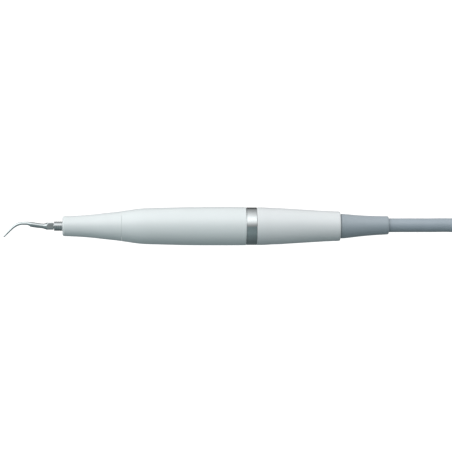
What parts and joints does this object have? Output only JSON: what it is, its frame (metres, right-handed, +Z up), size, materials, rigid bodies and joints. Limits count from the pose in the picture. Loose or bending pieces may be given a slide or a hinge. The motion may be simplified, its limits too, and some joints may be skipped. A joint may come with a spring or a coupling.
{
  "type": "ultrasonic scaler",
  "caption": "Slim white dental ultrasonic scaler handpiece with a curved screw-in steel tip, a steel rear ring, a plug-in cord connector and its tied grey cord with a far-end plug.",
  "frame": {"origin": "on the table under the middle of the handpiece's length, from the tip's point to the end of the cord's strain relief", "axes": "+X along the handpiece from the tip towards the cord, +Z up from the table that the handpiece lies on, with the tip curving down"},
  "size_m": [0.4063, 0.0673, 0.0238],
  "materials": {
    "white_shell": "satin white autoclavable plastic",
    "ring_steel": "polished stainless steel",
    "tip_steel": "polished stainless steel with fine grinding marks",
    "horn_titanium": "turned titanium alloy",
    "inner_steel": "turned stainless steel",
    "contact_brass": "gold-plated brass",
    "piezo_ceramic": "fired piezo ceramic, about as dense as steel",
    "peek": "tan engineering plastic",
    "black_plastic": "black insulating plastic",
    "seal_rubber": "black seal rubber",
    "clear_silicone": "milky silicone tube",
    "grey_silicone": "matte blue-grey silicone",
    "red_wire": "red wire insulation",
    "black_wire": "black wire insulation",
    "strap_fabric": "woven hook-and-loop strap"
  },
  "bodies": {
    "cord_set": {"connector_shell": "white_shell", "connector_core": "black_plastic", "spigot_o_ring_1": "seal_rubber", "spigot_o_ring_2": "seal_rubber", "contact_pin_1": "contact_brass", "contact_pin_2": "contact_brass", "inner_wire_1": "red_wire", "inner_wire_2": "black_wire", "water_nipple": "inner_steel", "nipple_o_ring": "seal_rubber", "inner_water_tube": "clear_silicone", "cord_clamp": "inner_steel", "cord_boot": "grey_silicone", "cord_jacket_end": "grey_silicone", "cord_lead": "grey_silicone", "cord_hank": "grey_silicone", "cord_tail": "grey_silicone", "hank_tie_1": "strap_fabric", "hank_tie_2": "strap_fabric", "plug_boot": "grey_silicone", "plug_shell": "white_shell", "plug_insert": "black_plastic", "plug_pin_1": "contact_brass", "plug_pin_2": "contact_brass", "plug_nipple": "inner_steel"},
    "tip": {"scaler_tip": "tip_steel"},
    "transducer": {"horn": "horn_titanium", "bolt_insulator": "peek", "rear_mass": "inner_steel", "centre_bolt": "inner_steel", "piezo_ring_1": "piezo_ceramic", "piezo_ring_2": "piezo_ceramic", "piezo_ring_3": "piezo_ceramic", "piezo_ring_4": "piezo_ceramic", "electrode_1": "contact_brass", "electrode_2": "contact_brass", "electrode_3": "contact_brass", "electrode_4": "contact_brass"},
    "nose_seal": {"nose_o_ring": "seal_rubber"},
    "nose": {"nose_cone": "white_shell"},
    "handpiece": {"body_shell": "white_shell", "rear_ring": "ring_steel", "nose_bush": "contact_brass", "carrier_sleeve": "peek", "flange_o_ring_1": "seal_rubber", "flange_o_ring_2": "seal_rubber", "socket_block": "black_plastic", "socket_contact_1": "contact_brass", "socket_contact_2": "contact_brass", "water_socket": "inner_steel", "water_hose": "clear_silicone", "lead_live": "red_wire", "lead_ground": "black_wire"},
    "coupling_nut": {"coupling_nut": "ring_steel"}
  },
  "joints": [
    {"name": "connector_pull", "type": "slide", "parent": "cord_set", "child": "handpiece", "axis": [-1, 0, 0], "range_m": [0, 0.024]},
    {"name": "transducer_stroke", "type": "slide", "parent": "handpiece", "child": "transducer", "axis": [1, 0, 0], "range_m": [-0.0001, 0.0001], "stiffness_N_per_m": 2000},
    {"name": "tip_turn", "type": "hinge", "parent": "transducer", "child": "tip", "pos_m": [-0.0745, 0, 0.01], "axis": [-1, 0, 0], "range_deg": [0, 1710]},
    {"name": "nose_travel", "type": "slide", "parent": "handpiece", "child": "nose_seal", "axis": [-1, 0, 0], "range_m": [0, 0.00601]},
    {"name": "nose_turn", "type": "hinge", "parent": "nose_seal", "child": "nose", "pos_m": [-0.0393, 0, 0.01], "axis": [-1, 0, 0], "range_deg": [0, 2880]},
    {"name": "coupling_nut_turn", "type": "hinge", "parent": "cord_set", "child": "coupling_nut", "pos_m": [0.1975, 0.0308, 0.008], "axis": [1, 0, 0], "continuous": true}
  ],
  "couplings": [
    {"joint": "nose_travel", "follows": "nose_turn", "m_per_rad": 0.00011937}
  ]
}
